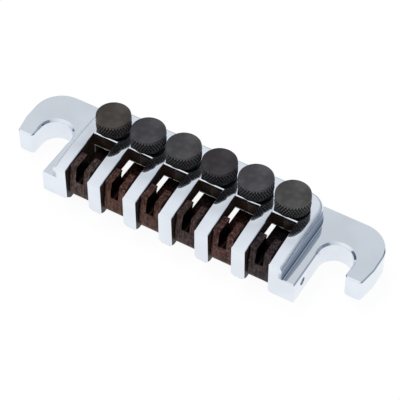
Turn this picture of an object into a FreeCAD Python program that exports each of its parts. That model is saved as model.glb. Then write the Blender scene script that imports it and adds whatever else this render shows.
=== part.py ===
import FreeCAD, Part
import math
import os
import Sketcher

# A stopbar tailpiece with six fine tuners. Millimetres. X runs along the bar with the first string at
# minus X, minus Y is the front, where the strings leave for the bridge, and Z is up. The origin is the
# middle of the foot of the casting.

STRINGS = 6

# Every driving size of the part. Heights are from the casting's foot and depths from its front face,
# unless the words say otherwise. Lengths along the bar add up outwards from the strings.
SIZES = {
    "strings": STRINGS,
    "string_pitch": 10.4,
    # the bar with its two ears; the ledge is the step beside the block, the horn the ear's outer arm
    "bar_depth": 26.4,
    "ear_height": 7.6,
    "ledge_width": 3.4,
    "stud_slot_width": 9.0,
    "stud_seat_depth": 12.8,
    "horn_width": 5.5,
    "horn_setback": 8.8,
    "horn_taper": 0.9,
    "horn_taper_depth": 14.0,
    "horn_corner_radius": 1.0,
    "ear_corner_radius": 8.0,
    "ear_edge_chamfer": 0.35,
    "foot_edge_chamfer": 0.9,
    "seat_edge_chamfer": 0.6,
    "seat_edge_angle": 45.0,
    # the most of its wall that a fillet takes
    "fillet_wall_share": 0.75,
    # the raised block between the ears
    "end_wall": 3.775,
    "block_rear_setback": 0.9,
    "block_corner_radius": 6.0,
    "block_foot_radius": 0.3,
    "block_front_chamfer": 0.3,
    "block_rim_radius": 1.2,
    "front_height": 11.4,
    "rear_height": 12.2,
    "crown_radius": 80.0,
    # the pockets in it, and the chamber underneath, whose roof clears the levers' arms
    "rib_width": 3.75,
    "rib_foot_depth": 7.6,
    "rib_arch_radius": 2.6,
    "pocket_wall_setback": 4.25,
    "pocket_edge_chamfer": 0.2,
    "pocket_rear_chamfer": 0.5,
    "roof_front_gap": 1.9,
    "roof_rear_gap": 3.4,
    "chamber_rear_wall": 3.2,
    # the shaft that the levers rock on
    "shaft_radius": 1.05,
    "shaft_depth": 4.5,
    "shaft_height": 4.5,
    "shaft_recess": 0.6,
    "shaft_end_chamfer": 0.3,
    "shaft_blind_wall": 2.0,
    "shaft_end_gap": 0.3,
    "shaft_fit": 0.02,
    # the levers, each with a head as wide as its pocket allows and a narrower arm
    "lever_side_gap": 0.2,
    "arm_side_gap": 0.4,
    "lever_foot_drop": 2.7,
    "lever_foot_depth": 1.0,
    "lever_foot_radius": 1.6,
    "lever_heel_depth": 7.8,
    "tine_height": 12.1,
    "tine_crease_depth": 2.2,
    "tine_rear_depth": 7.4,
    "tine_hook_radius": 2.6,
    "tine_face_radius": 31.0,
    "tine_crease_radius": 0.5,
    "tine_edge_chamfer": 0.25,
    "string_slot_width": 2.2,
    "string_slot_height": 7.7,
    "ball_seat_radius": 2.1,
    "ball_seat_depth": 9.3,
    "arm_height": 6.6,
    "arm_thickness": 3.2,
    "arm_end_gap": 2.6,
    "arm_end_chamfer": 0.6,
    "lever_fit": 0.04,
    # the thumbscrews, set back from the rear of the bar
    "screw_setback": 8.4,
    "screw_radius": 1.5,
    "screw_fit": 0.05,
    "screw_tip_gap": 0.15,
    "screw_tip_radius": 0.5,
    "screw_tip_height": 0.6,
    "spigot_radius": 1.1,
    "spigot_length": 2.6,
    "spigot_fit": 0.05,
    "knob_side_gap": 1.0,
    "knob_crown_gap": 0.6,
    "knob_height": 4.2,
    "knurl_count": 24.0,
    "knurl_depth": 0.38,
    "knurl_overlap_share": 1.12,
    # how far the cuts run past a face, and how close two places are that count as one
    "overrun": 1.0,
    "same_place": 0.0001,
}

doc = FreeCAD.newDocument("tailpiece")
sheet = doc.addObject("Spreadsheet::Sheet", "sizes")
for row, (alias, number) in enumerate(SIZES.items(), start=1):
    sheet.set(f"A{row}", alias)
    sheet.set(f"B{row}", str(number))
    sheet.setAlias(f"B{row}", alias)
doc.recompute()

# Places that several pieces share, as expressions on the sheet.
FRONT = "-sizes.bar_depth / 2"
REAR = "sizes.bar_depth / 2"
HALF_STRINGS = "(sizes.string_pitch * (sizes.strings - 1) / 2)"
HALF_POCKET = "((sizes.string_pitch - sizes.rib_width) / 2)"
HALF_CHAMBER = f"({HALF_STRINGS} + {HALF_POCKET})"
HALF_BLOCK = f"({HALF_CHAMBER} + sizes.end_wall)"
HALF_SLOT = "sizes.stud_slot_width / 2"
HALF_STUDS = f"({HALF_BLOCK} + sizes.ledge_width + {HALF_SLOT})"
HALF_BAR = f"({HALF_STUDS} + {HALF_SLOT} + sizes.horn_width)"
STUD_SEAT = f"{FRONT} + sizes.stud_seat_depth"
HORN_FRONT = f"{FRONT} + sizes.horn_setback"
EAR_CORNER_WALL = "(sizes.bar_depth - sizes.horn_taper_depth)"
EAR_CORNER_RADIUS = f"min(sizes.ear_corner_radius; {EAR_CORNER_WALL} * sizes.fillet_wall_share)"
LEDGE_REAR = "(sizes.block_rear_setback - sizes.ear_edge_chamfer)"
BLOCK_FOOT_RADIUS = f"min(sizes.block_foot_radius; {LEDGE_REAR} * sizes.fillet_wall_share)"
BLOCK_REAR = f"{REAR} - sizes.block_rear_setback"
BLOCK_DEPTH = "(sizes.bar_depth - sizes.block_rear_setback)"
CROWN_CHORD = f"sqrt({BLOCK_DEPTH} ^ 2 + (sizes.rear_height - sizes.front_height) ^ 2)"
CROWN_DROP = f"sqrt(sizes.crown_radius ^ 2 - {CROWN_CHORD} ^ 2 / 4) * {BLOCK_DEPTH} / {CROWN_CHORD}"
CROWN_TOP = f"((sizes.front_height + sizes.rear_height) / 2 + sizes.crown_radius - {CROWN_DROP})"
ROOF_FRONT = "(sizes.arm_height + sizes.roof_front_gap)"
ROOF_REAR = "(sizes.arm_height + sizes.roof_rear_gap)"
FIRST_STRING = f"-{HALF_STRINGS}"
PIVOT_Y = f"{FRONT} + sizes.shaft_depth"
PIVOT_Z = "sizes.shaft_height"
SCREW_Y = f"{REAR} - sizes.screw_setback"
POCKET_WALL = f"{SCREW_Y} - sizes.pocket_wall_setback"
SEAT_Y = f"{FRONT} + sizes.ball_seat_depth"
TIP_Z = "sizes.arm_height + sizes.screw_tip_gap"
KNOB_BASE = f"({CROWN_TOP} + sizes.knob_crown_gap)"
KNOB_RADIUS = "(sizes.string_pitch - sizes.knob_side_gap) / 2"
BORE_LEFT = f"-{HALF_STUDS} + {HALF_SLOT} + sizes.shaft_blind_wall"
BORE_RIGHT = f"{HALF_STUDS} - {HALF_SLOT}"


def measure(text):
    """The present value of an expression on the sheet."""
    return float(sheet.evalExpression(text))


def new_body(label):
    body = doc.addObject("PartDesign::Body", label)
    body.Label = label
    return body


def new_sketch(body, name, role, height=None):
    """A sketch on one of the body's own origin planes, lifted off it by an expression."""
    sketch = body.newObject("Sketcher::SketchObject", name)
    plane = next(item for item in body.Origin.OriginFeatures if item.Role == role)
    sketch.AttachmentSupport = [(plane, "")]
    sketch.MapMode = "FlatFace"
    if height:
        sketch.setExpression("AttachmentOffset.Base.z", height)
    return sketch


def bind(sketch, kind, where, text):
    """Add a dimension whose value is an expression."""
    number = sketch.addConstraint(Sketcher.Constraint(kind, *where, measure(text)))
    sketch.setExpression(f"Constraints[{number}]", text)


def hold(sketch, edge, end, corner):
    """Hold one end of an edge at a corner given as a pair of expressions."""
    across, up = corner
    bind(sketch, "DistanceX", (-1, 1, edge, end), across)
    bind(sketch, "DistanceY", (-1, 1, edge, end), up)


def point(corner):
    across, up = corner
    return FreeCAD.Vector(measure(across), measure(up), 0)


def arch(start, end, radius, side):
    """The shorter arc between two points, bulging to the right of the way from start to end, or to the
    left where side is minus 1."""
    half = (end - start).Length / 2
    along = (end - start).normalize()
    inward = FreeCAD.Vector(-along.y, along.x, 0) * math.sqrt(max(radius ** 2 - half ** 2, 0)) * side
    centre = (start + end) / 2 + inward
    first, last = (start, end) if side > 0 else (end, start)
    angles = [math.atan2(place.y - centre.y, place.x - centre.x) for place in (first, last)]
    return Part.ArcOfCircle(Part.Circle(centre, FreeCAD.Vector(0, 0, 1), radius), *angles)


def outline(sketch, corners, arcs=None):
    """Edges round a closed row of corners. arcs names the edges that are arcs, by the number of the corner
    that they leave, each with its radius, the side that it bulges to and, for a half circle, the height of
    its centre, which holds it where a radius can't."""
    arcs = arcs or {}
    places = [point(corner) for corner in corners]
    edges = []
    for index, here in enumerate(places):
        there = places[(index + 1) % len(places)]
        if index in arcs:
            radius, side, centre_up = arcs[index]
            edge = sketch.addGeometry(arch(here, there, measure(radius), side))
            if centre_up:
                bind(sketch, "DistanceY", (-1, 1, edge, 3), centre_up)
            else:
                bind(sketch, "Radius", (edge,), radius)
            turned = side < 0
        else:
            edge = sketch.addGeometry(Part.LineSegment(here, there))
            turned = False
        edges.append((edge, 2, 1) if turned else (edge, 1, 2))
    for index, (edge, begin, finish) in enumerate(edges):
        following, next_begin, next_finish = edges[(index + 1) % len(edges)]
        sketch.addConstraint(Sketcher.Constraint("Coincident", edge, finish, following, next_begin))
        hold(sketch, edge, begin, corners[index])


def rectangle(sketch, left, bottom, right, top):
    outline(sketch, [(left, bottom), (right, bottom), (right, top), (left, top)])


def circle(sketch, centre, radius):
    edge = sketch.addGeometry(Part.Circle(point(centre), FreeCAD.Vector(0, 0, 1), measure(radius)))
    hold(sketch, edge, 3, centre)
    bind(sketch, "Radius", (edge,), radius)


def pad(body, sketch, length, midplane=False):
    feature = body.newObject("PartDesign::Pad", sketch.Name + "_pad")
    feature.Profile = sketch
    feature.Midplane = midplane
    feature.setExpression("Length", length)
    sketch.Visibility = False
    doc.recompute()
    return feature


def pocket(body, sketch, length=None, upwards=False, midplane=False, taper=None):
    """Cut a sketch out of the body, through all of it or to a length, and make sure that it cuts."""
    before = body.Shape.Volume
    feature = body.newObject("PartDesign::Pocket", sketch.Name + "_cut")
    feature.Profile = sketch
    feature.Reversed = upwards
    feature.Midplane = midplane
    if length:
        feature.setExpression("Length", length)
    else:
        feature.Type = "ThroughAll"
    if taper:
        feature.setExpression("TaperAngle", taper)
    sketch.Visibility = False
    doc.recompute()
    if body.Shape.Volume >= before:
        raise RuntimeError(f"{feature.Name} cuts nothing")
    return feature


def turn(body, sketch, axis):
    """Turn a sketch once round one of its own axes."""
    feature = body.newObject("PartDesign::Revolution", sketch.Name + "_turned")
    feature.Profile = sketch
    feature.ReferenceAxis = (sketch, [axis])
    feature.Angle = 360
    sketch.Visibility = False
    doc.recompute()
    return feature


def soften(body, kind, name, size, test):
    """Fillet or chamfer the edges whose boxes pass a test."""
    names = [f"Edge{number}" for number, edge in enumerate(body.Shape.Edges, start=1) if test(edge.BoundBox)]
    if not names:
        raise RuntimeError(f"{name} finds no edges")
    base = body.Tip
    feature = body.newObject(f"PartDesign::{kind}", name)
    feature.Base = (base, names)
    feature.setExpression("Radius" if kind == "Fillet" else "Size", size)
    doc.recompute()
    if not feature.isValid():
        raise RuntimeError(f"{name} fails")
    return feature


def near(number, target):
    return abs(number - target) < measure("sizes.same_place")


def casting():
    """The bar with its ears, crowned block, chamber, pockets and bores."""
    body = new_body("tailpiece_body")
    bar(body)
    block(body)
    stud_seats(body)
    chamber(body)
    string_pockets(body)
    screw_holes(body)
    shaft_bore(body)
    return body


def bar(body):
    """The bar and both ears, each ear open to the front in a slot for its stud."""
    inner = f"{HALF_STUDS} - {HALF_SLOT}"
    outer = f"{HALF_STUDS} + {HALF_SLOT}"
    tip = f"{HALF_BAR} - sizes.horn_taper"
    taper = f"{FRONT} + sizes.horn_taper_depth"
    right = [(inner, FRONT), (inner, STUD_SEAT), (outer, STUD_SEAT), (outer, HORN_FRONT),
             (tip, HORN_FRONT), (HALF_BAR, taper), (HALF_BAR, REAR)]
    left = [(f"-({across})", up) for across, up in reversed(right)]
    right_seat = right.index((inner, STUD_SEAT))
    left_seat = len(right) + len(left) - 2 - right_seat
    seat = (HALF_SLOT, -1, STUD_SEAT)
    sketch = new_sketch(body, "bar_outline", "XY_Plane")
    outline(sketch, right + left, {right_seat: seat, left_seat: seat})
    pad(body, sketch, "sizes.ear_height")
    end = measure(HALF_BAR)
    rear = measure(REAR)
    horn_front = measure(HORN_FRONT)
    height = measure("sizes.ear_height")
    soften(body, "Fillet", "ear_corners", EAR_CORNER_RADIUS,
           lambda box: near(abs(box.XMin), end) and near(box.YMin, rear) and near(box.ZLength, height))
    soften(body, "Fillet", "horn_corners", "sizes.horn_corner_radius",
           lambda box: near(box.YMin, horn_front) and near(box.YMax, horn_front) and near(box.ZLength, height))
    front = measure(FRONT)
    soften(body, "Chamfer", "ear_edge", "sizes.ear_edge_chamfer",
           lambda box: near(box.ZMin, height) and not near(box.YMax, front))
    soften(body, "Chamfer", "foot_edge", "sizes.foot_edge_chamfer", lambda box: near(box.ZMax, 0))


def block(body):
    """The crowned block between the ears."""
    low = "sizes.ear_height / 2"
    sketch = new_sketch(body, "block_profile", "YZ_Plane")
    corners = [(FRONT, low), (BLOCK_REAR, low), (BLOCK_REAR, "sizes.rear_height"),
               (FRONT, "sizes.front_height")]
    outline(sketch, corners, {2: ("sizes.crown_radius", 1, None)})
    pad(body, sketch, f"{HALF_BLOCK} * 2", midplane=True)
    side = measure(HALF_BLOCK)
    rear = measure(BLOCK_REAR)
    height = measure("sizes.ear_height")
    soften(body, "Fillet", "block_corners", "sizes.block_corner_radius",
           lambda box: near(abs(box.XMin), side) and near(box.YMin, rear) and near(box.XLength, 0)
           and near(box.YLength, 0))
    soften(body, "Fillet", "block_foot", BLOCK_FOOT_RADIUS,
           lambda box: near(box.ZMin, height) and near(box.ZMax, height) and near(abs(box.XMin), side))
    front = measure(FRONT)
    upper = (height + measure("sizes.front_height")) / 2
    soften(body, "Chamfer", "block_front_edge", "sizes.block_front_chamfer",
           lambda box: box.ZMin > upper and near(box.YMax, front))
    soften(body, "Fillet", "block_rim", "sizes.block_rim_radius",
           lambda box: box.ZMin > upper and box.YMax > front / 2 and not near(box.YMin, front))


def stud_seats(body):
    """The conical edge of each slot's round end, where the stud's head sits."""
    sketch = new_sketch(body, "stud_seat", "XY_Plane", "sizes.ear_height")
    for side in ("", "-"):
        circle(sketch, (f"{side}{HALF_STUDS}", STUD_SEAT), f"{HALF_SLOT} + sizes.seat_edge_chamfer")
    pocket(body, sketch, "sizes.seat_edge_chamfer * 2", taper="-sizes.seat_edge_angle")


def chamber(body):
    """The hollow under the block, where the levers' arms move. It leaves the end walls, the rear wall, and
    each rib's foot at the front, which arches back into the roof."""
    foot = f"{FRONT} + sizes.rib_foot_depth"
    arch_end = f"{foot} + sizes.rib_arch_radius"
    rear = f"{REAR} - sizes.chamber_rear_wall"
    below = "-sizes.overrun"
    sketch = new_sketch(body, "chamber_profile", "YZ_Plane")
    corners = [(foot, below), (rear, below), (rear, ROOF_REAR), (POCKET_WALL, ROOF_FRONT),
               (arch_end, ROOF_FRONT), (foot, f"{ROOF_FRONT} - sizes.rib_arch_radius")]
    outline(sketch, corners, {4: ("sizes.rib_arch_radius", 1, None)})
    pocket(body, sketch, f"{HALF_CHAMBER} * 2", midplane=True)


def string_pockets(body):
    """One open-fronted pocket for each lever, cut down into the chamber."""
    sketch = new_sketch(body, "string_pocket", "XY_Plane")
    rectangle(sketch, f"{FIRST_STRING} - {HALF_POCKET}", f"{FRONT} - sizes.overrun",
              f"{FIRST_STRING} + {HALF_POCKET}", POCKET_WALL)
    cut = pocket(body, sketch, upwards=True)
    along_strings(body, "string_pockets", cut)
    front = measure(FRONT)
    rear = measure(POCKET_WALL)
    low = measure(f"({ROOF_FRONT} + sizes.front_height) / 2")
    soften(body, "Chamfer", "pocket_rear_edges", "sizes.pocket_rear_chamfer",
           lambda box: near(box.YMin, rear) and near(box.YMax, rear) and box.ZMin > low
           and near(box.ZLength, 0))
    soften(body, "Chamfer", "pocket_side_edges", "sizes.pocket_edge_chamfer",
           lambda box: near(box.XLength, 0) and box.ZMin > low and box.YLength > (rear - front) / 2
           and abs(box.XMin) < measure(f"{HALF_CHAMBER} + sizes.end_wall / 2"))


def screw_holes(body):
    sketch = new_sketch(body, "screw_hole", "XY_Plane")
    circle(sketch, (FIRST_STRING, SCREW_Y), "sizes.screw_radius + sizes.screw_fit")
    cut = pocket(body, sketch, upwards=True)
    along_strings(body, "screw_holes", cut)


def along_strings(body, name, feature):
    """Repeat a cut at every string."""
    before = body.Shape.Volume
    pattern = body.newObject("PartDesign::LinearPattern", name)
    pattern.Originals = [feature]
    pattern.Direction = (feature.Profile[0], ["H_Axis"])
    pattern.setExpression("Occurrences", "sizes.strings")
    pattern.setExpression("Length", "sizes.string_pitch * (sizes.strings - 1)")
    body.Tip = pattern
    doc.recompute()
    if body.Shape.Volume >= before:
        raise RuntimeError(f"{name} cuts nothing")


def shaft_bore(body):
    """A blind bore for the shaft, open in the inner wall of the right-hand stud slot."""
    sketch = new_sketch(body, "shaft_bore", "YZ_Plane", BORE_LEFT)
    circle(sketch, (PIVOT_Y, PIVOT_Z), "sizes.shaft_radius + sizes.shaft_fit")
    pocket(body, sketch, f"{BORE_RIGHT} - ({BORE_LEFT}) + sizes.overrun", upwards=True)


def at_string(body, number):
    """Move a piece that was drawn on the middle of the bar to its own string."""
    body.setExpression("Placement.Base.x", f"{FIRST_STRING} + sizes.string_pitch * {number}")
    doc.recompute()
    return body


def shaft():
    """The rod that the levers rock on, a little shorter than its bore."""
    body = new_body("pivot_shaft")
    sketch = new_sketch(body, "shaft_section", "XZ_Plane")
    bevel = "sizes.shaft_end_chamfer"
    radius = "sizes.shaft_radius"
    left = f"{BORE_LEFT} + sizes.shaft_end_gap"
    right = f"{BORE_RIGHT} - sizes.shaft_recess"
    outline(sketch, [(left, "0"), (right, "0"), (right, f"{radius} - {bevel}"),
                     (f"{right} - {bevel}", radius), (f"{left} + {bevel}", radius),
                     (left, f"{radius} - {bevel}")])
    turn(body, sketch, "H_Axis")
    body.setExpression("Placement.Base.y", PIVOT_Y)
    body.setExpression("Placement.Base.z", PIVOT_Z)
    doc.recompute()
    return body


def lever(number):
    """A forked lever: two tines in front, a scoop for the string's ball end, and an arm under the screw."""
    body = new_body(f"string_lever_{number + 1}")
    foot = f"{FRONT} + sizes.lever_foot_depth"
    heel = f"{FRONT} + sizes.lever_heel_depth"
    arm_end = f"{REAR} - sizes.chamber_rear_wall - sizes.arm_end_gap"
    arm_under = "sizes.arm_height - sizes.arm_thickness"
    foot_height = f"{PIVOT_Z} - sizes.lever_foot_drop"
    width = f"({HALF_POCKET} - sizes.lever_side_gap) * 2"
    crease = (f"{FRONT} + sizes.tine_crease_depth", "sizes.tine_height")
    seat_front = (f"{SEAT_Y} - sizes.ball_seat_radius", "sizes.arm_height + sizes.ball_seat_radius")
    tine_rear = (f"{FRONT} + sizes.tine_rear_depth", "sizes.tine_height")
    corners = [(foot, foot_height), (heel, foot_height), (f"{heel} + sizes.arm_thickness / 2", arm_under),
               (arm_end, arm_under), (arm_end, "sizes.arm_height"), (SEAT_Y, "sizes.arm_height"),
               seat_front, tine_rear, crease]
    sketch = new_sketch(body, "lever_profile", "YZ_Plane")
    outline(sketch, corners, {5: ("sizes.ball_seat_radius", -1, None),
                              6: ("sizes.tine_hook_radius", -1, None),
                              8: ("sizes.tine_face_radius", 1, None)})
    pad(body, sketch, width, midplane=True)
    slot = new_sketch(body, "string_slot", "YZ_Plane")
    before_tines = f"{FRONT} - sizes.overrun"
    above_tines = "sizes.tine_height + sizes.overrun"
    rectangle(slot, before_tines, "sizes.string_slot_height", SEAT_Y, above_tines)
    pocket(body, slot, "sizes.string_slot_width", midplane=True)
    waist = new_sketch(body, "arm_waist", "XY_Plane")
    for side in ("", "-"):
        rectangle(waist, f"{side}({HALF_POCKET} - sizes.arm_side_gap)", SEAT_Y,
                  f"{side}{HALF_POCKET}", f"{arm_end} + sizes.overrun")
    pocket(body, waist, upwards=True)
    bore = new_sketch(body, "lever_bore", "YZ_Plane")
    circle(bore, (PIVOT_Y, PIVOT_Z), "sizes.shaft_radius + sizes.lever_fit")
    pocket(body, bore, width, midplane=True)
    front = measure(foot)
    low = measure(foot_height)
    top = measure("sizes.tine_height")
    crease_at = measure(crease[0])
    end = measure(arm_end)
    soften(body, "Fillet", "lever_foot", "sizes.lever_foot_radius",
           lambda box: near(box.YMax, front) and near(box.YMin, front) and near(box.ZMin, low)
           and box.XLength > 0)
    soften(body, "Fillet", "tine_crease", "sizes.tine_crease_radius",
           lambda box: near(box.YMin, crease_at) and near(box.YMax, crease_at) and near(box.ZMin, top))
    soften(body, "Chamfer", "arm_end", "sizes.arm_end_chamfer",
           lambda box: near(box.YMin, end) and near(box.ZLength, 0))
    side = measure(f"{width} / 2")
    soften(body, "Chamfer", "tine_edges", "sizes.tine_edge_chamfer",
           lambda box: near(abs(box.XMin), side) and near(box.XLength, 0) and near(box.ZMin, top))
    return at_string(body, number)


def screw(number):
    """The stem of a thumbscrew, from the blunt tip on the lever's arm to the spigot in the head."""
    body = new_body(f"tuning_screw_{number + 1}")
    radius = "sizes.screw_radius"
    shoulder = f"{KNOB_BASE} - sizes.spigot_fit"
    top = f"{shoulder} + sizes.spigot_length"
    sketch = new_sketch(body, "screw_section", "XZ_Plane")
    outline(sketch, [("0", TIP_Z), ("sizes.screw_tip_radius", TIP_Z),
                     (radius, f"{TIP_Z} + sizes.screw_tip_height"), (radius, shoulder),
                     ("sizes.spigot_radius", shoulder), ("sizes.spigot_radius", top), ("0", top)])
    turn(body, sketch, "V_Axis")
    body.setExpression("Placement.Base.y", SCREW_Y)
    return at_string(body, number)


def knob(number):
    """The knurled head of a thumbscrew, with a blind bore for the stem's spigot."""
    body = new_body(f"tuning_knob_{number + 1}")
    disc = new_sketch(body, "knob_disc", "XY_Plane", KNOB_BASE)
    circle(disc, ("0", "0"), KNOB_RADIUS)
    pad(body, disc, "sizes.knob_height")
    bore = new_sketch(body, "spigot_bore", "XY_Plane", KNOB_BASE)
    circle(bore, ("0", "0"), "sizes.spigot_radius + sizes.spigot_fit")
    pocket(body, bore, "sizes.spigot_length + sizes.spigot_fit", upwards=True)
    knurl(body)
    body.setExpression("Placement.Base.y", SCREW_Y)
    return at_string(body, number)


def knurl(body):
    """Straight V grooves all round the head, each a little wider than its pitch, so that the ridges
    between them are sharp."""
    width = f"{KNOB_RADIUS} * 2 * pi / sizes.knurl_count * sizes.knurl_overlap_share"
    sketch = new_sketch(body, "knurl_groove", "XY_Plane", KNOB_BASE)
    outline(sketch, [(f"{KNOB_RADIUS} - sizes.knurl_depth", "0"),
                     (f"{KNOB_RADIUS} + sizes.knurl_depth", f"-{width}"),
                     (f"{KNOB_RADIUS} + sizes.knurl_depth", width)])
    cut = pocket(body, sketch, upwards=True)
    before = body.Shape.Volume
    pattern = body.newObject("PartDesign::PolarPattern", "knurling")
    pattern.Originals = [cut]
    pattern.Axis = (sketch, ["N_Axis"])
    pattern.Angle = 360
    pattern.setExpression("Occurrences", "sizes.knurl_count")
    body.Tip = pattern
    doc.recompute()
    if body.Shape.Volume >= before:
        raise RuntimeError("the knurling cuts nothing")


def check(piece):
    """Stop where anything in the piece has failed."""
    for item in [piece] + list(piece.Group):
        if "Invalid" in item.State or "Error" in item.State:
            raise RuntimeError(f"{piece.Label}: {item.Name} has failed")
    if piece.Shape.isNull() or not piece.Shape.isValid() or len(piece.Shape.Solids) != 1:
        raise RuntimeError(f"{piece.Label} isn't one valid solid")


pieces = [casting(), shaft()]
for make in (lever, screw, knob):
    pieces += [make(number) for number in range(STRINGS)]
doc.recompute()
os.makedirs("parts", exist_ok=True)
for piece in pieces:
    check(piece)
for piece in pieces:
    piece.Shape.exportStep(f"parts/{piece.Label}.step")
print(f"{len(pieces)} pieces")
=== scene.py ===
import math

import bmesh
import bpy
from bpy.props import FloatProperty, FloatVectorProperty, IntProperty, PointerProperty
from bpy.types import Operator, Panel, PropertyGroup
from mathutils import Matrix, Vector


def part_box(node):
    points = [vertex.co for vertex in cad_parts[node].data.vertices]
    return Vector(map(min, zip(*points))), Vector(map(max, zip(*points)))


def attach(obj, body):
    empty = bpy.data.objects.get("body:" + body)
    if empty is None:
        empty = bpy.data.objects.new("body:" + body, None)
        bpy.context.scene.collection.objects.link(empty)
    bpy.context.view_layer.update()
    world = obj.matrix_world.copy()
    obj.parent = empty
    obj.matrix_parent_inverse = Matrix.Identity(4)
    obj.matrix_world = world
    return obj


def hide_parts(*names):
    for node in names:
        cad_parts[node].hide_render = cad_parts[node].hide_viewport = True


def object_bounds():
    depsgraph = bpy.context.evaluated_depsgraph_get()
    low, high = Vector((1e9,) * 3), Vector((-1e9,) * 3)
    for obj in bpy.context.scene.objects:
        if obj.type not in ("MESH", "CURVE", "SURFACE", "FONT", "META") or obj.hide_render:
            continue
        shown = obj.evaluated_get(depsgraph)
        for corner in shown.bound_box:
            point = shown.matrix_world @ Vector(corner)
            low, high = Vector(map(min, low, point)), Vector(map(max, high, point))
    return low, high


bl_info = {
    "name": "Stopbar tailpiece",
    "version": (1, 0, 0),
    "blender": (4, 5, 0),
    "location": "View3D > Sidebar > Tailpiece",
    "description": "Finishes a chromed stopbar tailpiece with six fine tuners",
    "category": "Object",
}

# Metres. X runs along the bar, minus Y is the front where the strings leave, and Z is up.
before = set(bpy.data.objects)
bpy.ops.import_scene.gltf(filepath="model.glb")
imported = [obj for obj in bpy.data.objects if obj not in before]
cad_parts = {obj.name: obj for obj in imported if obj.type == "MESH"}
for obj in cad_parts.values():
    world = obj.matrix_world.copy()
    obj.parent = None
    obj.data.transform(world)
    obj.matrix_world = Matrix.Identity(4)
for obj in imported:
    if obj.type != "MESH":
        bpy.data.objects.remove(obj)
CAD_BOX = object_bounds()

MM = 0.001
STRINGS = range(1, 1 + sum(name.startswith("string_lever_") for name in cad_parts))
FULL_TURN = 2 * math.pi
GAP = 0.01 * MM

# Faces that meet at more than this make an edge, which gets rounded.
SHARP = math.radians(24)

# Where the casting's features lie, for the plating on them. Distances along the bar are from the nearest
# string for the pockets and the ribs, and from the middle of the bar for the rest.
POCKET_HALF = 3.325 * MM
POCKET_REAR = 0.55 * MM
POCKET_LIP = 8.5 * MM
POCKET_BEVEL = 0.2 * MM
RIB_MIDDLE = 5.2 * MM
RIB_FOOT = 0.95 * MM
CHAMBER_HALF = 29.4 * MM
CHAMBER_FRONT = -5.65 * MM
CHAMBER_REAR = 10.05 * MM
CHAMBER_ROOF = 10.0 * MM
STEP = 33.1 * MM
EAR_TOP = 7.6 * MM

# How far off a wall a face or corner may lie and still belong to it, loosely and closely, and how squarely
# such a face looks along an axis.
NEAR = 0.1 * MM
CLOSE = 0.02 * MM
SQUARE = 0.95

# The outline, the rounded rim and the crown of the raised block, for the normals there.
BLOCK_REAR = 12.3 * MM
BLOCK_CORNER = 6.0 * MM
BLOCK_LOW = EAR_TOP + 0.6 * MM
RIM_RADIUS = 1.2 * MM
RIM_FRONT = -12.8 * MM
CROWN_RADIUS = 80.0 * MM
CROWN_MIDDLE = 2.09 * MM

# The faint hollow in the crown in front of the heads: its middle and half its width from front to back, how
# far the normals lean back in it and, at a rib's edge, towards the pocket, and how level a normal on top is.
HOLLOW_MIDDLE = -3.5 * MM
HOLLOW_HALF = 5.5 * MM
HOLLOW_LEAN = 0.095
HOLLOW_ASIDE = 0.16
LEVEL = 0.97

# The shallow ring groove in the top of each head: its edges and those of its floor as shares of the head's
# radius, and its depth.
RING_SHARES = (0.86, 0.84, 0.80, 0.78)
RING_DEPTH = 0.035 * MM

# How far the plain bands of a head lie below the knurl's crests, as a share of the knurl's depth, and the
# normal's upward part below which a face looks down and gets the painted shade of an underside.
BAND_DEPTH = 0.35
SHADED_BELOW = -0.12

# One turn of the thread: whether each corner is on the crest, and its height as a share of the pitch.
THREAD_CORNERS = ((False, 0), (False, 0.12), (True, 0.5), (True, 0.62))
THREAD_STEPS = 28

# The tint of each lever and of each head, from the first string to the last.
LEVER_TINTS = ((0.86, 1.24, 1.38), (1.05, 1.06, 1.04), (0.92, 0.98, 0.98), (0.62, 0.86, 1.0),
               (0.95, 0.98, 1.05), (0.50, 0.76, 1.02))
KNOB_TINTS = ((0.95, 0.80, 0.64), (0.86, 0.84, 0.98), (1.02, 1.02, 1.10), (0.48, 0.38, 0.48),
              (1.08, 1.08, 1.2), (1.24, 1.22, 1.14))

# The lamps: the name, place, width, power and colour of each.
LAMPS = (
    ("key_light", (-0.30, 0.22, 0.55), 0.35, 2.0, (1.0, 0.99, 0.97)),
    ("fill_light", (0.30, -0.50, 0.40), 0.50, 1.5, (0.97, 0.98, 1.0)),
)

# The tent that the chrome mirrors: the way to its brightest part, and its colour at angles from there.
TENT_MIDDLE = (-0.334, -0.35, 0.87)
TENT = (
    (90, (0.50, 0.53, 0.57)), (70, (0.58, 0.61, 0.64)), (55, (0.70, 0.72, 0.73)),
    (42, (0.88, 0.89, 0.90)), (30, (1.0, 1.0, 1.0)),
)

# What the studio shows in the chrome besides the tent: the way to each patch, the angles in degrees from
# its middle where it starts and ends to fade, and its colour.
STUDIO_PATCHES = (
    ((-0.334, 0.806, 0.488), 10, 24, (0.84, 0.86, 0.87)),
    ((0.80, 0.50, 0.28), 12, 30, (0.34, 0.39, 0.45)),
    ((-0.334, -0.755, 0.565), 16, 26, (1.0, 1.0, 1.0)),
    ((0.80, -0.09, 0.55), 10, 24, (0.22, 0.27, 0.34)),
)

# The colour of the strip along the horizon.
HORIZON = (0.14, 0.16, 0.20)

# Half the floor's width, and how much of the floor is plain white to the camera and in the metal.
FLOOR_HALF = 3.0
FLOOR_GLOW = 0.93


def middle(node):
    """The middle of a node's box."""
    low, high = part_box(node)
    return (low + high) / 2


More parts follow.
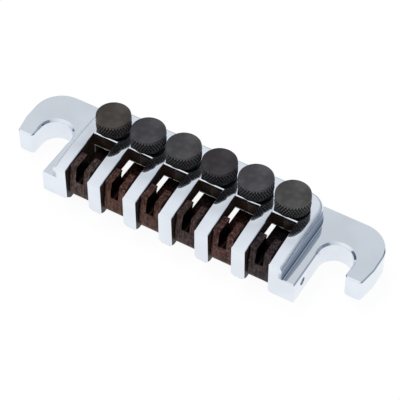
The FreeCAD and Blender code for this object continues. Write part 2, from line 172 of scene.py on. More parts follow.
class CastingSettings(PropertyGroup):
    """The chromed zinc casting."""
    edge_round: FloatProperty(
        name="Edge rounding", description="How far the polishing has rounded each edge", default=0.07 * MM,
        min=0, unit="LENGTH")
    edge_angle: FloatProperty(
        name="Edge angle", description="Faces that meet at more than this make an edge", default=SHARP,
        subtype="ANGLE")
    chrome: FloatVectorProperty(
        name="Chrome", description="Colour of the plating", default=(0.80, 0.845, 0.915), size=3, min=0,
        max=1, subtype="COLOR")
    polish: FloatProperty(
        name="Polish", description="Roughness of the polished plating", default=0.035, min=0, max=1,
        subtype="FACTOR")
    # Painted shade: the darker bluish colour on the steps above the ears stands in for the dark reflection
    # there.
    step_shade: FloatVectorProperty(
        name="Smoky chrome", description="Colour of the plating on the steps above the ears",
        default=(0.24, 0.30, 0.39), size=3, min=0, max=1, subtype="COLOR")
    foot_round: FloatProperty(
        name="Foot rounding", description="How far the lower corners of the ribs are rounded",
        default=0.85 * MM, min=0, unit="LENGTH")
    # Painted shade: the near black colour of the pockets and of the chamber stands in for the shade in them.
    recess_shade: FloatVectorProperty(
        name="Dull plating", default=(0.030, 0.015, 0.010), size=3, min=0, max=1, subtype="COLOR",
        description="Colour of the plating in the pockets, where no polishing has reached")


class LeverSettings(PropertyGroup):
    """The forked levers."""
    edge_round: FloatProperty(
        name="Edge rounding", description="How far each edge is rounded", default=0.11 * MM, min=0,
        unit="LENGTH")
    plate: FloatVectorProperty(
        name="Plate", description="Colour of the dark brown plating", default=(0.088, 0.040, 0.032), size=3,
        min=0, max=1, subtype="COLOR")


class KnobSettings(PropertyGroup):
    """The heads of the thumbscrews."""
    diamonds: IntProperty(
        name="Diamonds", description="Diamonds of the knurl round the head", default=36, min=8)
    diamond_rows: IntProperty(
        name="Rows", description="Half diamonds from the bottom to the top of the knurl", default=5, min=2)
    knurl_depth: FloatProperty(
        name="Knurl depth", description="Depth of the knurl's grooves", default=0.36 * MM, unit="LENGTH")
    rim: FloatProperty(
        name="Rim", description="Height of the plain band above and below the knurl", default=0.40 * MM,
        unit="LENGTH")
    rim_bevel: FloatProperty(
        name="Rim bevel", description="Width of the bevel at each end of the head", default=0.10 * MM,
        unit="LENGTH")
    black: FloatVectorProperty(
        name="Black", description="Colour of the black plating", default=(0.030, 0.029, 0.030), size=3,
        min=0, max=1, subtype="COLOR")


class ScrewSettings(PropertyGroup):
    """The threaded stems of the thumbscrews."""
    thread_pitch: FloatProperty(
        name="Thread pitch", description="Rise of the thread in one turn", default=0.7 * MM, unit="LENGTH")
    thread_depth: FloatProperty(
        name="Thread depth", description="Depth of the thread", default=0.30 * MM, unit="LENGTH")
    steel: FloatVectorProperty(
        name="Black steel", description="Colour of the blackened stems", default=(0.035, 0.034, 0.036),
        size=3, min=0, max=1, subtype="COLOR")


class StageSettings(PropertyGroup):
    """The floor, the light and the camera."""
    azimuth: FloatProperty(
        name="Azimuth", description="Turn of the camera to the right of straight ahead",
        default=math.radians(30.585), subtype="ANGLE")
    elevation: FloatProperty(
        name="Elevation", description="Height of the camera above the floor's level",
        default=math.radians(49.006), subtype="ANGLE")
    distance: FloatProperty(
        name="Distance", description="Distance from the camera to the point it aims at", default=0.43559,
        unit="LENGTH")
    aim: FloatVectorProperty(
        name="Aim", description="The point in the middle of the picture", size=3, subtype="XYZ",
        default=(0.00744, -0.00860, 0.01755), unit="LENGTH")
    lens: FloatProperty(name="Lens", description="Focal length in millimetres", default=161.1)
    floor: FloatVectorProperty(
        name="Floor", description="Colour of the floor", default=(0.93, 0.93, 0.94), size=3, min=0, max=1,
        subtype="COLOR")


class TailpieceSettings(PropertyGroup):
    """Everything that a user may change."""
    casting: PointerProperty(type=CastingSettings)
    lever: PointerProperty(type=LeverSettings)
    knob: PointerProperty(type=KnobSettings)
    screw: PointerProperty(type=ScrewSettings)
    stage: PointerProperty(type=StageSettings)


class Wire:
    """A node's output that takes part in sums written as Python expressions."""

    def __init__(self, tree, source):
        self.tree = tree
        self.source = source

    def _math(self, operation, *terms):
        return self.tree.add("ShaderNodeMath", {"operation": operation}, dict(enumerate(terms)))

    def __add__(self, other):
        return self._math("ADD", self, other)

    __radd__ = __add__

    def __sub__(self, other):
        return self._math("SUBTRACT", self, other)

    def __rsub__(self, other):
        return self._math("SUBTRACT", other, self)

    def __mul__(self, other):
        return self._math("MULTIPLY", self, other)

    __rmul__ = __mul__

    def clamped(self):
        return self._math("MINIMUM", self._math("MAXIMUM", self, 0.0), 1.0)


class Tree:
    """The nodes of one material or of the world."""

    def __init__(self, owner):
        owner.use_nodes = True
        self.nodes = owner.node_tree.nodes
        self.links = owner.node_tree.links
        self.nodes.clear()

    def add(self, kind, settings=None, inputs=None, output=0):
        """One node: its settings first, then the value or wire of each socket. Gives one of its outputs."""
        node = self.nodes.new(kind)
        for name, value in (settings or {}).items():
            if name == "stops":
                self._stops(node.color_ramp, value)
            else:
                setattr(node, name, value)
        for key, value in (inputs or {}).items():
            if isinstance(value, Wire):
                self.links.new(value.source, node.inputs[key])
            else:
                node.inputs[key].default_value = value
        return Wire(self, node.outputs[output]) if len(node.outputs) else node

    @staticmethod
    def _stops(ramp, stops):
        for place, shade in stops[1:-1]:
            ramp.elements.new(place).color = shade
        for element, (place, shade) in zip((ramp.elements[0], ramp.elements[-1]), (stops[0], stops[-1])):
            element.position = place
            element.color = shade

    def place(self, centre=(0, 0, 0), stretch=(1, 1, 1)):
        """Object coordinates about a centre, stretched."""
        spot = self.add("ShaderNodeTexCoord", output="Object")
        moved = self.add("ShaderNodeVectorMath", {"operation": "SUBTRACT"}, {0: spot, 1: centre})
        return self.add("ShaderNodeMapping", {"vector_type": "POINT"}, {"Vector": moved, "Scale": stretch})

    def distance(self, centre=(0, 0, 0), along=(1, 1, 1)):
        """The distance from a centre, along the axes that are 1 and not 0."""
        moved = self.place(centre, along)
        return self.add("ShaderNodeVectorMath", {"operation": "LENGTH"}, {0: moved}, "Value")

    def coordinate(self, axis):
        """One of the object coordinates: X, Y or Z."""
        return self.add("ShaderNodeSeparateXYZ", None, {"Vector": self.place()}, axis)

    def noise(self, where, scale, detail=2.0, rough=0.5):
        return self.add("ShaderNodeTexNoise", None,
                        {"Vector": where, "Scale": scale, "Detail": detail, "Roughness": rough}, "Fac")

    def fade(self, value, low, high):
        """0 below low, 1 above high, smooth between."""
        return self.add("ShaderNodeMapRange", {"interpolation_type": "SMOOTHSTEP"},
                        {"Value": value, "From Min": low, "From Max": high}, "Result")

    def mix(self, share, first, second):
        """A colour between two others."""
        return self.add("ShaderNodeMix", {"data_type": "RGBA"}, {"Factor": share, 6: first, 7: second}, 2)

    def bump(self, height, distance, strength=1.0):
        return self.add("ShaderNodeBump", None,
                        {"Height": height, "Distance": distance, "Strength": strength})

    def finish(self, **sockets):
        """A Principled shader, with names such as Base_Color for its sockets, wired to the output."""
        shader = self.add("ShaderNodeBsdfPrincipled", None,
                          {name.replace("_", " "): value for name, value in sockets.items()})
        self.add("ShaderNodeOutputMaterial", None, {"Surface": shader})


def opaque(colour, share=1, lift=0):
    """A colour times a share, plus a lift, with full alpha."""
    return (*(part * share + lift for part in colour), 1.0)


def tinted(colour, tint):
    return [part * share for part, share in zip(colour, tint)]


def new_material(name):
    material = bpy.data.materials.new(name)
    return material, Tree(material)


def chrome_plate(settings):
    """Bright chrome over a polished casting: a faint waviness, and a haze of fine polishing marks. The step
    above each ear gets painted shade, a darker bluish chrome that stands in for the dark reflection there:
    low down on both sides, and on the right up to the rim."""
    material, tree = new_material("chrome_plate")
    waves = tree.noise(tree.place(), 160.0, 2.0)
    marks = tree.noise(tree.place(stretch=(1, 6, 6)), 1400.0, 3.0)
    haze = tree.noise(tree.place(), 90.0, 3.0)
    aside = tree.distance(along=(1, 0, 0))
    right = tree.coordinate("X")
    up = tree.coordinate("Z")
    step = (tree.fade(aside, STEP - 1.3 * MM, STEP - 0.6 * MM)
            * tree.fade(aside, STEP + 0.42 * MM, STEP + 0.30 * MM)
            * tree.fade(up, EAR_TOP + 0.005 * MM, EAR_TOP + 0.03 * MM))
    # Painted shade on the step: the dark reflection of its wall and rim, painted into the colour.
    shadow = step * (0.7 * tree.fade(right, STEP - 0.42 * MM, STEP - 0.2 * MM)
                     + 0.55 * tree.fade(up, EAR_TOP + 2.8 * MM, EAR_TOP + 1.2 * MM)).clamped()
    plain = tree.mix(tree.fade(haze, 0.35, 0.7), opaque(settings.chrome), opaque(settings.chrome, 0.93))
    tree.finish(Base_Color=tree.mix(shadow, plain, opaque(settings.step_shade)), Metallic=1.0,
                Roughness=settings.polish + 0.03 * marks + 0.03 * haze + 0.2 * step,
                Normal=tree.bump(waves * 0.7 + marks * 0.06, 0.02 * MM, 0.2))
    return material


def recess_shade_plate(settings):
    """Rough plating on the walls of the pockets and of the chamber, painted near black as the shade in them,
    with a painted highlight in places along the lower edge of each pocket's rear wall."""
    material, tree = new_material("recess_shade_plate")
    cloud = tree.noise(tree.place(), 350.0, 3.0, 0.6)
    grain = tree.noise(tree.place(), 2400.0, 2.0, 0.6)
    # Near black, clouded: painted shade in the pockets and the chamber.
    shade = tree.mix(tree.fade(cloud, 0.3, 0.7), opaque(settings.recess_shade, 0.5), opaque(settings.recess_shade))
    # Painted highlight: a pale line in places along the lower edge of each pocket's rear wall.
    to_wall = tree.distance((0, POCKET_REAR, 0), (0, 1, 0))
    lip = tree.fade(tree.coordinate("Z"), POCKET_LIP + 0.36 * MM, POCKET_LIP + 0.28 * MM)
    lip_highlight = tree.fade(to_wall, 0.10 * MM, 0.05 * MM) * lip * tree.fade(cloud, 0.36, 0.46)
    # The pale colour of the painted highlight.
    shade = tree.mix(lip_highlight, shade, (0.95, 0.94, 0.92, 1))
    tree.finish(Base_Color=shade, Metallic=0.0, Roughness=0.45 + 0.2 * grain,
                Normal=tree.bump(grain * 0.5 + cloud * 0.5, 0.05 * MM, 0.5))
    return material


def brown_plate(name, colour, string):
    """Dark brown plating, mottled, with small bright specks where the casting's grain shows through, and
    near black in the string slot, which is painted shade."""
    material, tree = new_material(name)
    shifted = tree.place((string * 3, string, 0))
    cloud = tree.noise(shifted, 1100.0, 3.0, 0.6)
    streak = tree.noise(tree.place((string * 2, 0, 0), (1, 1, 0.15)), 2000.0, 2.0, 0.6)
    grain = tree.noise(shifted, 2600.0, 2.0, 0.6)
    streaked = tree.fade(cloud * 0.35 + streak * 0.65, 0.42, 0.57)
    mottle = tree.mix(streaked, opaque(colour, 0.42), opaque(colour, 1.25))
    specks = tree.fade(grain, 0.58, 0.66) * tree.fade(cloud, 0.48, 0.58)
    shade = tree.mix(specks, mottle, opaque(colour, 2.6, 0.04))
    aside = tree.distance((string, 0, 0), (1, 0, 0))
    # Painted shade in the string slot between the tines.
    slot_shade = tree.fade(aside, 1.22 * MM, 1.10 * MM) * tree.fade(tree.coordinate("Z"), 7.2 * MM, 8.2 * MM)
    shade = tree.mix(slot_shade, shade, opaque(colour, 0.12))
    tree.finish(Base_Color=shade, Metallic=0.95, Roughness=0.32 + 0.22 * cloud,
                Normal=tree.bump(grain * 0.4 + cloud * 0.6, 0.06 * MM, 0.6))
    return material


def satin_black(tree, spot, colour):
    """Satin black, clouded with a paler tone."""
    cloud = tree.noise(spot, 300.0, 3.0)
    return tree.mix(tree.fade(cloud, 0.35, 0.75), opaque(colour), opaque(colour, 1.7, 0.012))


def black_steel(colour):
    """Satin black plating on the stems."""
    material, tree = new_material("black_steel")
    grain = tree.noise(tree.place(), 2200.0, 2.0, 0.6)
    tree.finish(Base_Color=satin_black(tree, tree.place(), colour), Metallic=0.35,
                Roughness=0.38 + 0.16 * grain, Normal=tree.bump(grain, 0.012 * MM, 0.5))
    return material


def underside_shade_plate():
    """Near black plating for the undersides of the knurl's diamonds: painted shade where the light doesn't
    reach.
    """
    material, tree = new_material("underside_shade_plate")
    grain = tree.noise(tree.place(), 2200.0, 2.0, 0.6)
    shade = tree.mix(grain, (0.003, 0.003, 0.005, 1), (0.010, 0.010, 0.014, 1))
    tree.finish(Base_Color=shade, Metallic=0.2, Roughness=0.5 + 0.1 * grain,
                Normal=tree.bump(grain, 0.012 * MM, 0.5))
    return material


def knob_plate(name, colour, settings, centre, low, high, radius):
    """Satin black plating on a head, with the lathe's rings on its ends. The knurl's ridges are painted pale
    as a highlight, and its grooves and its foot near black as painted shade."""
    material, tree = new_material(name)
    spot = tree.place(centre)
    grain = tree.noise(spot, 2200.0, 2.0, 0.6)
    # Painted shade: near black for the knurl's grooves and the head's foot.
    knurl_shade = opaque(colour, 0.2)
    reach = tree.distance(centre, (1, 1, 0))
    height = tree.coordinate("Z")
    deep = radius - settings.knurl_depth
    # Painted highlight on the knurl's ridges, painted shade in its grooves.
    ridge = tree.fade(reach, deep + 0.2 * settings.knurl_depth, radius)
    ridge_highlight = tree.mix(ridge, knurl_shade, opaque(colour, 3.4, 0.03))
    # Painted shade: the side darker towards the foot.
    side = tree.mix(tree.fade(height, low + 0.12 * (high - low), low + 0.5 * (high - low)), knurl_shade, ridge_highlight)
    on_top = tree.fade(height, high - 0.2 * MM, high - 0.08 * MM)
    shade = tree.mix(on_top, side, satin_black(tree, spot, colour))
    rings = tree.add("ShaderNodeTexWave",
                     {"wave_type": "RINGS", "rings_direction": "Z", "wave_profile": "SIN"},
                     {"Vector": spot, "Scale": 900.0, "Distortion": 1.2, "Detail": 1.0,
                      "Detail Scale": 40.0}, "Fac")
    tree.finish(Base_Color=shade, Metallic=0.35, Roughness=0.38 + 0.16 * grain,
                Normal=tree.bump(grain * 0.4 + rings * 0.6, 0.03 * MM, 0.5))
    return material


def ground_steel():
    """Plain ground steel on the shaft, with the fine marks of the grinding round it."""
    material, tree = new_material("ground_steel")
    grain = tree.noise(tree.place(stretch=(8, 1, 1)), 900.0, 2.0)
    shade = tree.mix(grain, (0.36, 0.36, 0.38, 1), (0.52, 0.52, 0.54, 1))
    tree.finish(Base_Color=shade, Metallic=1.0, Roughness=0.25 + 0.15 * grain,
                Normal=tree.bump(grain, 0.02 * MM, 0.4))
    return material


def new_object(name, bm, materials):
    """Make an object of a bmesh, which is used up."""
    mesh = bpy.data.meshes.new(name)
    bm.to_mesh(mesh)
    bm.free()
    for material in materials:
        mesh.materials.append(material)
    made = bpy.data.objects.new(name, mesh)
    bpy.context.scene.collection.objects.link(made)
    return made


def add_piece(name, bm, materials, body, node):
    """Make a piece of a bmesh, riding on a body in place of a CAD node."""
    piece = new_object(name, bm, materials)
    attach(piece, body)
    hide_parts(node)
    return piece


def merged_copy(node):
    """A bmesh of a CAD node with its loose triangles joined and its flat faces whole."""
    bm = bmesh.new()
    bm.from_mesh(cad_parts[node].data)
    bmesh.ops.remove_doubles(bm, verts=bm.verts, dist=0.0005 * MM)
    bmesh.ops.dissolve_limit(bm, angle_limit=math.radians(0.4), verts=bm.verts, edges=bm.edges)
    return bm


def rim_normal(spot):
    """The normal of the raised block's rounded rim and side wall at a spot, or None away from them."""
    across = abs(spot.x) - (STEP - BLOCK_CORNER)
    behind = spot.y - (BLOCK_REAR - BLOCK_CORNER)
    side = math.copysign(1.0, spot.x)
    if across > 0 and behind > 0:
        reach = math.hypot(across, behind)
        outward = Vector((side * across / reach, behind / reach, 0))
    elif across > behind:
        reach = across
        outward = Vector((side, 0, 0))
    else:
        reach = behind
        outward = Vector((0, 1, 0))
    lean = 1 - (BLOCK_CORNER - reach) / RIM_RADIUS
    if lean < 0 or spot.y < RIM_FRONT or spot.z < BLOCK_LOW:
        return None
    lean = min(lean, 1)
    crown = Vector((0, (spot.y - CROWN_MIDDLE) / CROWN_RADIUS, 1))
    return (outward * lean + crown * math.sqrt(1 - lean * lean)).normalized()


def nearest(spot, strings):
    """Where along the bar the string nearest to a spot lies."""
    return min(strings, key=lambda place: abs(spot.x - place))


def hollow_normal(spot, normal, strings):
    """The normal on top of the block. The polishing has left it faintly hollow in front of the heads, and
    has rounded the ribs off a little towards the pockets there."""
    along = (spot.y - HOLLOW_MIDDLE) / HOLLOW_HALF
    if normal.z < LEVEL or spot.z < CHAMBER_ROOF or abs(along) > 1:
        return normal
    string = nearest(spot, strings)
    aside = abs(spot.x - string)
    to_pocket = 0
    if aside > POCKET_HALF:
        share = (RIB_MIDDLE - aside) / (RIB_MIDDLE - POCKET_HALF - POCKET_BEVEL)
        to_pocket = math.copysign(min(1, max(0, share)), string - spot.x)
    lean = Vector((HOLLOW_ASIDE * to_pocket, HOLLOW_LEAN, 0))
    return (normal + lean * (1 - along ** 2) ** 2).normalized()


def lay_normals(piece, strings):
    """Let the large faces set the shading, give the rounded rim the normals of a true round, and lean those
    on top of the block."""
    mesh = piece.data
    sums = [Vector() for vertex in mesh.vertices]
    for face in mesh.polygons:
        for index in face.vertices:
            sums[index] += face.normal * (face.area / MM ** 2) ** 2
    normals = [rim_normal(vertex.co) or hollow_normal(vertex.co, total.normalized(), strings)
               for vertex, total in zip(mesh.vertices, sums)]
    mesh.normals_split_custom_set_from_vertices(normals)


def bevel(bm, edges, width, segments):
    bmesh.ops.bevel(bm, geom=edges, offset=width, offset_type="OFFSET", segments=segments, profile=0.5,
                    affect="EDGES", clamp_overlap=False, material=-1)


def round_edges(bm, width, angle):
    """Round every outer edge that is sharper than an angle, but for those within the block's round rim."""
    bm.normal_update()
    sharp = [edge for edge in bm.edges if len(edge.link_faces) == 2 and edge.calc_face_angle(0) > angle
             and edge.is_convex and not all(rim_normal(vert.co) for vert in edge.verts)]
    bevel(bm, sharp, width, 2)


def keep_inside(bm, node):
    """Bring back any corner that the rounding has pushed out of a node's box."""
    low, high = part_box(node)
    for vert in bm.verts:
        vert.co = [min(max(part, least), most) for part, least, most in zip(vert.co, low, high)]


def shade_smooth(bm):
    for face in bm.faces:
        face.smooth = True


def weight_normals(piece):
    """Let the large faces set the shading, so that the rounded edges catch the light as narrow lines."""
    modifier = piece.modifiers.new("Weighted normals", "WEIGHTED_NORMAL")
    modifier.keep_sharp = True
    modifier.weight = 100


def on_rib_foot(spot, strings):
    """Whether a corner lies on the lower edge of a pocket's side wall, in front of the chamber."""
    aside = abs(spot.x - nearest(spot, strings))
    return abs(aside - POCKET_HALF) < CLOSE and spot.z < RIB_FOOT and spot.y < CHAMBER_FRONT + NEAR


def in_shaded_recess(face, strings):
    """Whether a face lies on a wall of a pocket or inside the chamber, which gets the painted shade."""
    spot = face.calc_center_bounds()
    normal = face.normal
    aside = abs(spot.x - nearest(spot, strings))
    if abs(normal.x) > SQUARE and abs(aside - POCKET_HALF) < NEAR and spot.y < POCKET_REAR:
        return True
    if normal.y < -SQUARE and abs(spot.y - POCKET_REAR) < NEAR and abs(spot.x) < CHAMBER_HALF:
        return True
    if normal.z > 0.1 or not 0 < spot.z < CHAMBER_ROOF:
        return False
    return abs(spot.x) < CHAMBER_HALF and CHAMBER_FRONT < spot.y < CHAMBER_REAR


class TAILPIECE_OT_casting(Operator):
    """Finish the chromed casting."""
    bl_idname = "tailpiece.casting"
    bl_label = "Casting"

    def execute(self, context):
        settings = context.scene.tailpiece.casting
        bm = merged_copy("tailpiece_body")
        strings = [middle(f"string_lever_{number}").x for number in STRINGS]
        feet = [edge for edge in bm.edges if all(on_rib_foot(vert.co, strings) for vert in edge.verts)]
        bevel(bm, feet, settings.foot_round, 4)
        bm.normal_update()
        round_edges(bm, settings.edge_round, settings.edge_angle)
        keep_inside(bm, "tailpiece_body")
        bm.normal_update()
        # The walls of the pockets and the chamber get the painted shade.
        for face in bm.faces:
            face.material_index = int(in_shaded_recess(face, strings))
        shade_smooth(bm)
        materials = [chrome_plate(settings), recess_shade_plate(settings)]
        piece = add_piece("chromed_casting", bm, materials, "root", "tailpiece_body")
        lay_normals(piece, strings)
        return {"FINISHED"}


class TAILPIECE_OT_shaft(Operator):
    """Finish the steel shaft that the levers rock on."""
    bl_idname = "tailpiece.shaft"
    bl_label = "Shaft"

    def execute(self, context):
        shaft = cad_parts["pivot_shaft"]
        shaft.data.materials.clear()
        shaft.data.materials.append(ground_steel())
        return {"FINISHED"}


class TAILPIECE_OT_levers(Operator):
    """Finish the six forked levers."""
    bl_idname = "tailpiece.levers"
    bl_label = "Levers"

    def execute(self, context):
        settings = context.scene.tailpiece.lever
        for number, tint in zip(STRINGS, LEVER_TINTS):
            node = f"string_lever_{number}"
            bm = merged_copy(node)
            round_edges(bm, settings.edge_round, SHARP)
            keep_inside(bm, node)
            shade_smooth(bm)
            material = brown_plate(f"brown_plate_{number}", tinted(settings.plate, tint), middle(node).x)
            weight_normals(add_piece(f"brown_lever_{number}", bm, [material], f"lever_{number}",
                                     node))
        return {"FINISHED"}


def profile_wire(bm, profile, centre):
    """Draw a profile of radius and height pairs beside an upright axis. Gives its corners and edges."""
    corners = [bm.verts.new((centre.x + radius, centre.y, height)) for radius, height in profile]
    return corners + [bm.edges.new(pair) for pair in zip(corners, corners[1:])]


def lathe(bm, profile, centre, steps):
    """Turn a profile of radius and height pairs round an upright axis."""
    bmesh.ops.spin(bm, geom=profile_wire(bm, profile, centre), cent=centre, axis=(0, 0, 1),
                   angle=FULL_TURN, steps=steps, use_merge=True)
    bmesh.ops.remove_doubles(bm, verts=bm.verts, dist=0.001 * MM)


def knurled_head(settings, centre, low, high, radius):
    """A head with a diamond knurl between two plain bands. The knurl starts as a plain grid turned on the
    lathe, and every other corner of it stands out."""
    bm = bmesh.new()
    inner = radius - settings.knurl_depth
    plain = radius - settings.knurl_depth * BAND_DEPTH
    knurl_low = low + settings.rim
    knurl_high = high - settings.rim
    rise = (knurl_high - knurl_low) / settings.diamond_rows
    wall = [(inner, knurl_low + rise * row) for row in range(1, settings.diamond_rows)]
    bottom = [(0, low), (plain - settings.rim_bevel, low), (plain, low + settings.rim_bevel)]
    top = [(plain, high - settings.rim_bevel), (plain - settings.rim_bevel, high)]
    ring = [(radius * share, high - depth)
            for share, depth in zip(RING_SHARES, (0, RING_DEPTH, RING_DEPTH, 0))]
    columns = settings.diamonds * 2
    lathe(bm, bottom + [(plain, knurl_low)] + wall + [(plain, knurl_high)] + top + ring + [(0, high)],
          centre, columns)
    step = FULL_TURN / columns
    for vert in bm.verts:
        row = (vert.co.z - knurl_low) / rise
        across = vert.co.xy - centre.xy
        if across.length < inner - settings.knurl_depth or not 0.5 < row < settings.diamond_rows - 0.5:
            continue
        column = math.atan2(across.y, across.x) / step
        if (round(row) + round(column)) % 2 == 0:
            vert.co.xy = centre.xy + across * (radius / inner)
    ridge = radius - settings.knurl_depth / 2
    for face in list(bm.faces):
        heights = [vert.co.z for vert in face.verts]
        upright = max(heights) - min(heights) >= rise / 2
        if len(face.verts) != 4 or not upright or max(heights) > knurl_high + rise / 2:
            continue
        grooves = [vert for vert in face.verts if (vert.co.xy - centre.xy).length < ridge]
        if len(grooves) == 2:
            bmesh.utils.face_split(face, grooves[0], grooves[1])
    bmesh.ops.recalc_face_normals(bm, faces=bm.faces)
    bm.normal_update()
    # Faces that look down get the near black underside material, as painted shade.
    for face in bm.faces:
        face.material_index = int(face.normal.z < SHADED_BELOW)
    return bm


class TAILPIECE_OT_knobs(Operator):
    """Make the six knurled heads."""
    bl_idname = "tailpiece.knobs"
    bl_label = "Knobs"

    def execute(self, context):
        settings = context.scene.tailpiece.knob
        # Near black for the knurl's undersides, as painted shade.
        underside_shade = underside_shade_plate()
        for number, tint in zip(STRINGS, KNOB_TINTS):
            node = f"tuning_knob_{number}"
            low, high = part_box(node)
            sizes = (middle(node), low.z, high.z, (high.x - low.x) / 2)
            bm = knurled_head(settings, *sizes)
            material = knob_plate(f"knob_plate_{number}", tinted(settings.black, tint), settings, *sizes)
            add_piece(f"knurled_head_{number}", bm, [material, underside_shade], f"head_{number}", node)
        return {"FINISHED"}


def threaded_stem(settings, centre, low, high, radius):
    """A stem with a real thread: a saw-toothed profile that climbs one pitch in its turn."""
    bm = bmesh.new()
    pitch = settings.thread_pitch
    root = radius - settings.thread_depth
    teeth = math.ceil((high - low) / pitch) + 2
    start = low - pitch * 1.5
    profile = []
    for tooth in range(teeth + 1):
        foot = start + tooth * pitch
        profile += [(radius if crest else root, foot + pitch * share) for crest, share in THREAD_CORNERS]
    bmesh.ops.spin(bm, geom=profile_wire(bm, profile, centre), cent=centre, axis=(0, 0, 1),
                   dvec=(0, 0, pitch / THREAD_STEPS), angle=FULL_TURN, steps=THREAD_STEPS, use_merge=False)
    bmesh.ops.remove_doubles(bm, verts=bm.verts, dist=0.002 * MM)
    tip = settings.thread_depth
    for level, outward in ((low + tip, False), (high, True)):
        geometry = list(bm.verts) + list(bm.edges) + list(bm.faces)
        bmesh.ops.bisect_plane(bm, geom=geometry, dist=0.0001 * MM, plane_co=(0, 0, level),
                               plane_no=(0, 0, 1), clear_outer=outward, clear_inner=not outward)
    open_edges = [edge for edge in bm.edges if edge.is_boundary and edge.verts[0].co.z < low + pitch]
    grown = bmesh.ops.extrude_edge_only(bm, edges=open_edges)["geom"]
    below = [item for item in grown if isinstance(item, bmesh.types.BMVert)]
    bmesh.ops.scale(bm, vec=(0.5, 0.5, 1), verts=below, space=Matrix.Translation(-centre))
    bmesh.ops.translate(bm, vec=(0, 0, -tip), verts=below)
    bmesh.ops.holes_fill(bm, edges=[edge for edge in bm.edges if edge.is_boundary], sides=0)
    bmesh.ops.recalc_face_normals(bm, faces=bm.faces)
    return bm


class TAILPIECE_OT_screws(Operator):
    """Make the threaded stems of the thumbscrews."""
    bl_idname = "tailpiece.screws"
    bl_label = "Screws"

    def execute(self, context):
        settings = context.scene.tailpiece.screw
        steel = black_steel(settings.steel)
        for number in STRINGS:
            node = f"tuning_screw_{number}"
            low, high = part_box(node)
            knob_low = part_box(f"tuning_knob_{number}")[0].z
            bm = threaded_stem(settings, middle(node), low.z, knob_low - GAP, (high.x - low.x) / 2)
            add_piece(f"threaded_stem_{number}", bm, [steel], f"stem_{number}", node)
        return {"FINISHED"}


def area_lamp(name, place, size, power, colour):
    """A square lamp that looks at the middle of the object's foot, and doesn't show in the metal."""
    data = bpy.data.lights.new(name, "AREA")
    data.size = size
    data.energy = power
    data.color = colour
    lamp = bpy.data.objects.new(name, data)
    lamp.matrix_world = looking(Vector(place), Vector())
    lamp.visible_glossy = False
    bpy.context.scene.collection.objects.link(lamp)


def looking(place, aim):
    """The placement of a lamp or camera that looks from a place at an aim, upright."""
    back = (place - aim).normalized()
    right = Vector((0, 0, 1)).cross(back).normalized()
    up = back.cross(right)
    turn = Matrix((right, up, back)).transposed().to_4x4()
    return Matrix.Translation(place) @ turn


def degree_cosine(angle):
    return math.cos(math.radians(angle))


def studio_world():
    """White behind everything. For light and reflections it is a pale tent, brightest high up in front on
    the left, with a bright patch in front and one behind, two dark ones on the right, and a dark strip along
    the horizon."""
    world = bpy.data.worlds.new("studio")
    bpy.context.scene.world = world
    tree = Tree(world)
    direction = tree.add("ShaderNodeTexCoord", output="Generated")

    def toward(way):
        """The cosine of the angle from a way."""
        return tree.add("ShaderNodeVectorMath", {"operation": "DOT_PRODUCT"},
                        {0: direction, 1: Vector(way).normalized()}, "Value")

    stops = [(degree_cosine(angle), opaque(colour)) for angle, colour in TENT]
    shade = tree.add("ShaderNodeValToRGB", {"stops": stops}, {"Fac": toward(TENT_MIDDLE)}, "Color")
    for way, inner, outer, colour in STUDIO_PATCHES:
        share = tree.fade(toward(way), degree_cosine(outer), degree_cosine(inner))
        shade = tree.mix(share, shade, opaque(colour))
    shade = tree.mix(tree.fade(toward((0, 0, 1)), 0.08, 0.24), opaque(HORIZON), shade)
    studio = tree.add("ShaderNodeBackground", None, {"Color": shade, "Strength": 1.0})
    white = tree.add("ShaderNodeBackground", None, {"Color": (1, 1, 1, 1), "Strength": 1.0})
    seen = tree.add("ShaderNodeLightPath", output="Is Camera Ray")
    mixed = tree.add("ShaderNodeMixShader", None, {0: seen, 1: studio, 2: white})
    tree.add("ShaderNodeOutputWorld", None, {"Surface": mixed})


def floor_material(colour):
    """A pale floor that looks white to the camera and in the metal, and still takes the object's shadow."""
    material, tree = new_material("pale_floor")
    matt = tree.add("ShaderNodeBsdfDiffuse", None, {"Color": opaque(colour)})
    glow = tree.add("ShaderNodeEmission", None, {"Color": (1, 1, 1, 1), "Strength": 1.0})
    path = tree.add("ShaderNodeLightPath", output="Is Camera Ray")
    mirrored = Wire(tree, path.source.node.outputs["Is Glossy Ray"])
    through = Wire(tree, path.source.node.outputs["Is Transmission Ray"])
    share = (path + mirrored + through).clamped() * FLOOR_GLOW
    mixed = tree.add("ShaderNodeMixShader", None, {0: share, 1: matt, 2: glow})
    tree.add("ShaderNodeOutputMaterial", None, {"Surface": mixed})
    return material


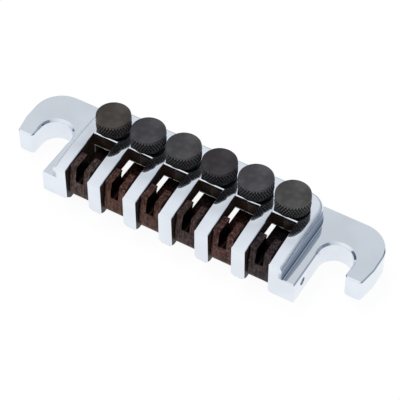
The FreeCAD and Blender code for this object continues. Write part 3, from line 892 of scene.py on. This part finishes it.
class TAILPIECE_OT_stage(Operator):
    """Make the floor, the light and the camera."""
    bl_idname = "tailpiece.stage"
    bl_label = "Stage"

    def execute(self, context):
        settings = context.scene.tailpiece.stage
        scene = context.scene
        scene.view_settings.view_transform = "Standard"
        bm = bmesh.new()
        bmesh.ops.create_grid(bm, x_segments=1, y_segments=1, size=FLOOR_HALF)
        bmesh.ops.translate(bm, vec=(0, 0, CAD_BOX[0][2] - GAP), verts=bm.verts)
        floor = new_object("floor", bm, [floor_material(settings.floor)])
        studio_world()
        for lamp in LAMPS:
            area_lamp(*lamp)
        aim = Vector(settings.aim)
        level = math.cos(settings.elevation)
        back = Vector((math.sin(settings.azimuth) * level, -math.cos(settings.azimuth) * level,
                       math.sin(settings.elevation)))
        data = bpy.data.cameras.new("camera")
        data.lens = settings.lens
        data.sensor_width = 36
        data.clip_start = 0.01
        data.clip_end = 20
        camera = bpy.data.objects.new("camera", data)
        camera.matrix_world = looking(aim + back * settings.distance, aim)
        scene.collection.objects.link(camera)
        scene.camera = camera
        return {"FINISHED"}


class TAILPIECE_PT_panel(Panel):
    """The tailpiece's settings and buttons."""
    bl_label = "Stopbar tailpiece"
    bl_space_type = "VIEW_3D"
    bl_region_type = "UI"
    bl_category = "Tailpiece"

    def draw(self, context):
        settings = context.scene.tailpiece
        groups = (
            (settings.casting, "tailpiece.casting",
             ("edge_round", "edge_angle", "foot_round", "chrome", "step_shade", "polish", "recess_shade")),
            (None, "tailpiece.shaft", ()),
            (settings.lever, "tailpiece.levers", ("edge_round", "plate")),
            (settings.knob, "tailpiece.knobs",
             ("diamonds", "diamond_rows", "knurl_depth", "rim", "rim_bevel", "black")),
            (settings.screw, "tailpiece.screws", ("thread_pitch", "thread_depth", "steel")),
            (settings.stage, "tailpiece.stage",
             ("azimuth", "elevation", "distance", "aim", "lens", "floor")),
        )
        for group, operator, names in groups:
            box = self.layout.box()
            for name in names:
                box.prop(group, name)
            box.operator(operator)


CLASSES = (CastingSettings, LeverSettings, KnobSettings, ScrewSettings, StageSettings, TailpieceSettings,
           TAILPIECE_OT_casting, TAILPIECE_OT_shaft, TAILPIECE_OT_levers, TAILPIECE_OT_knobs,
           TAILPIECE_OT_screws, TAILPIECE_OT_stage, TAILPIECE_PT_panel)


def register():
    for item in CLASSES:
        bpy.utils.register_class(item)
    bpy.types.Scene.tailpiece = PointerProperty(type=TailpieceSettings)


def unregister():
    del bpy.types.Scene.tailpiece
    for item in reversed(CLASSES):
        bpy.utils.unregister_class(item)


def main():
    register()
    bpy.ops.tailpiece.stage()
    bpy.ops.tailpiece.casting()
    bpy.ops.tailpiece.shaft()
    bpy.ops.tailpiece.levers()
    bpy.ops.tailpiece.screws()
    bpy.ops.tailpiece.knobs()


if __name__ == "__main__":
    main()
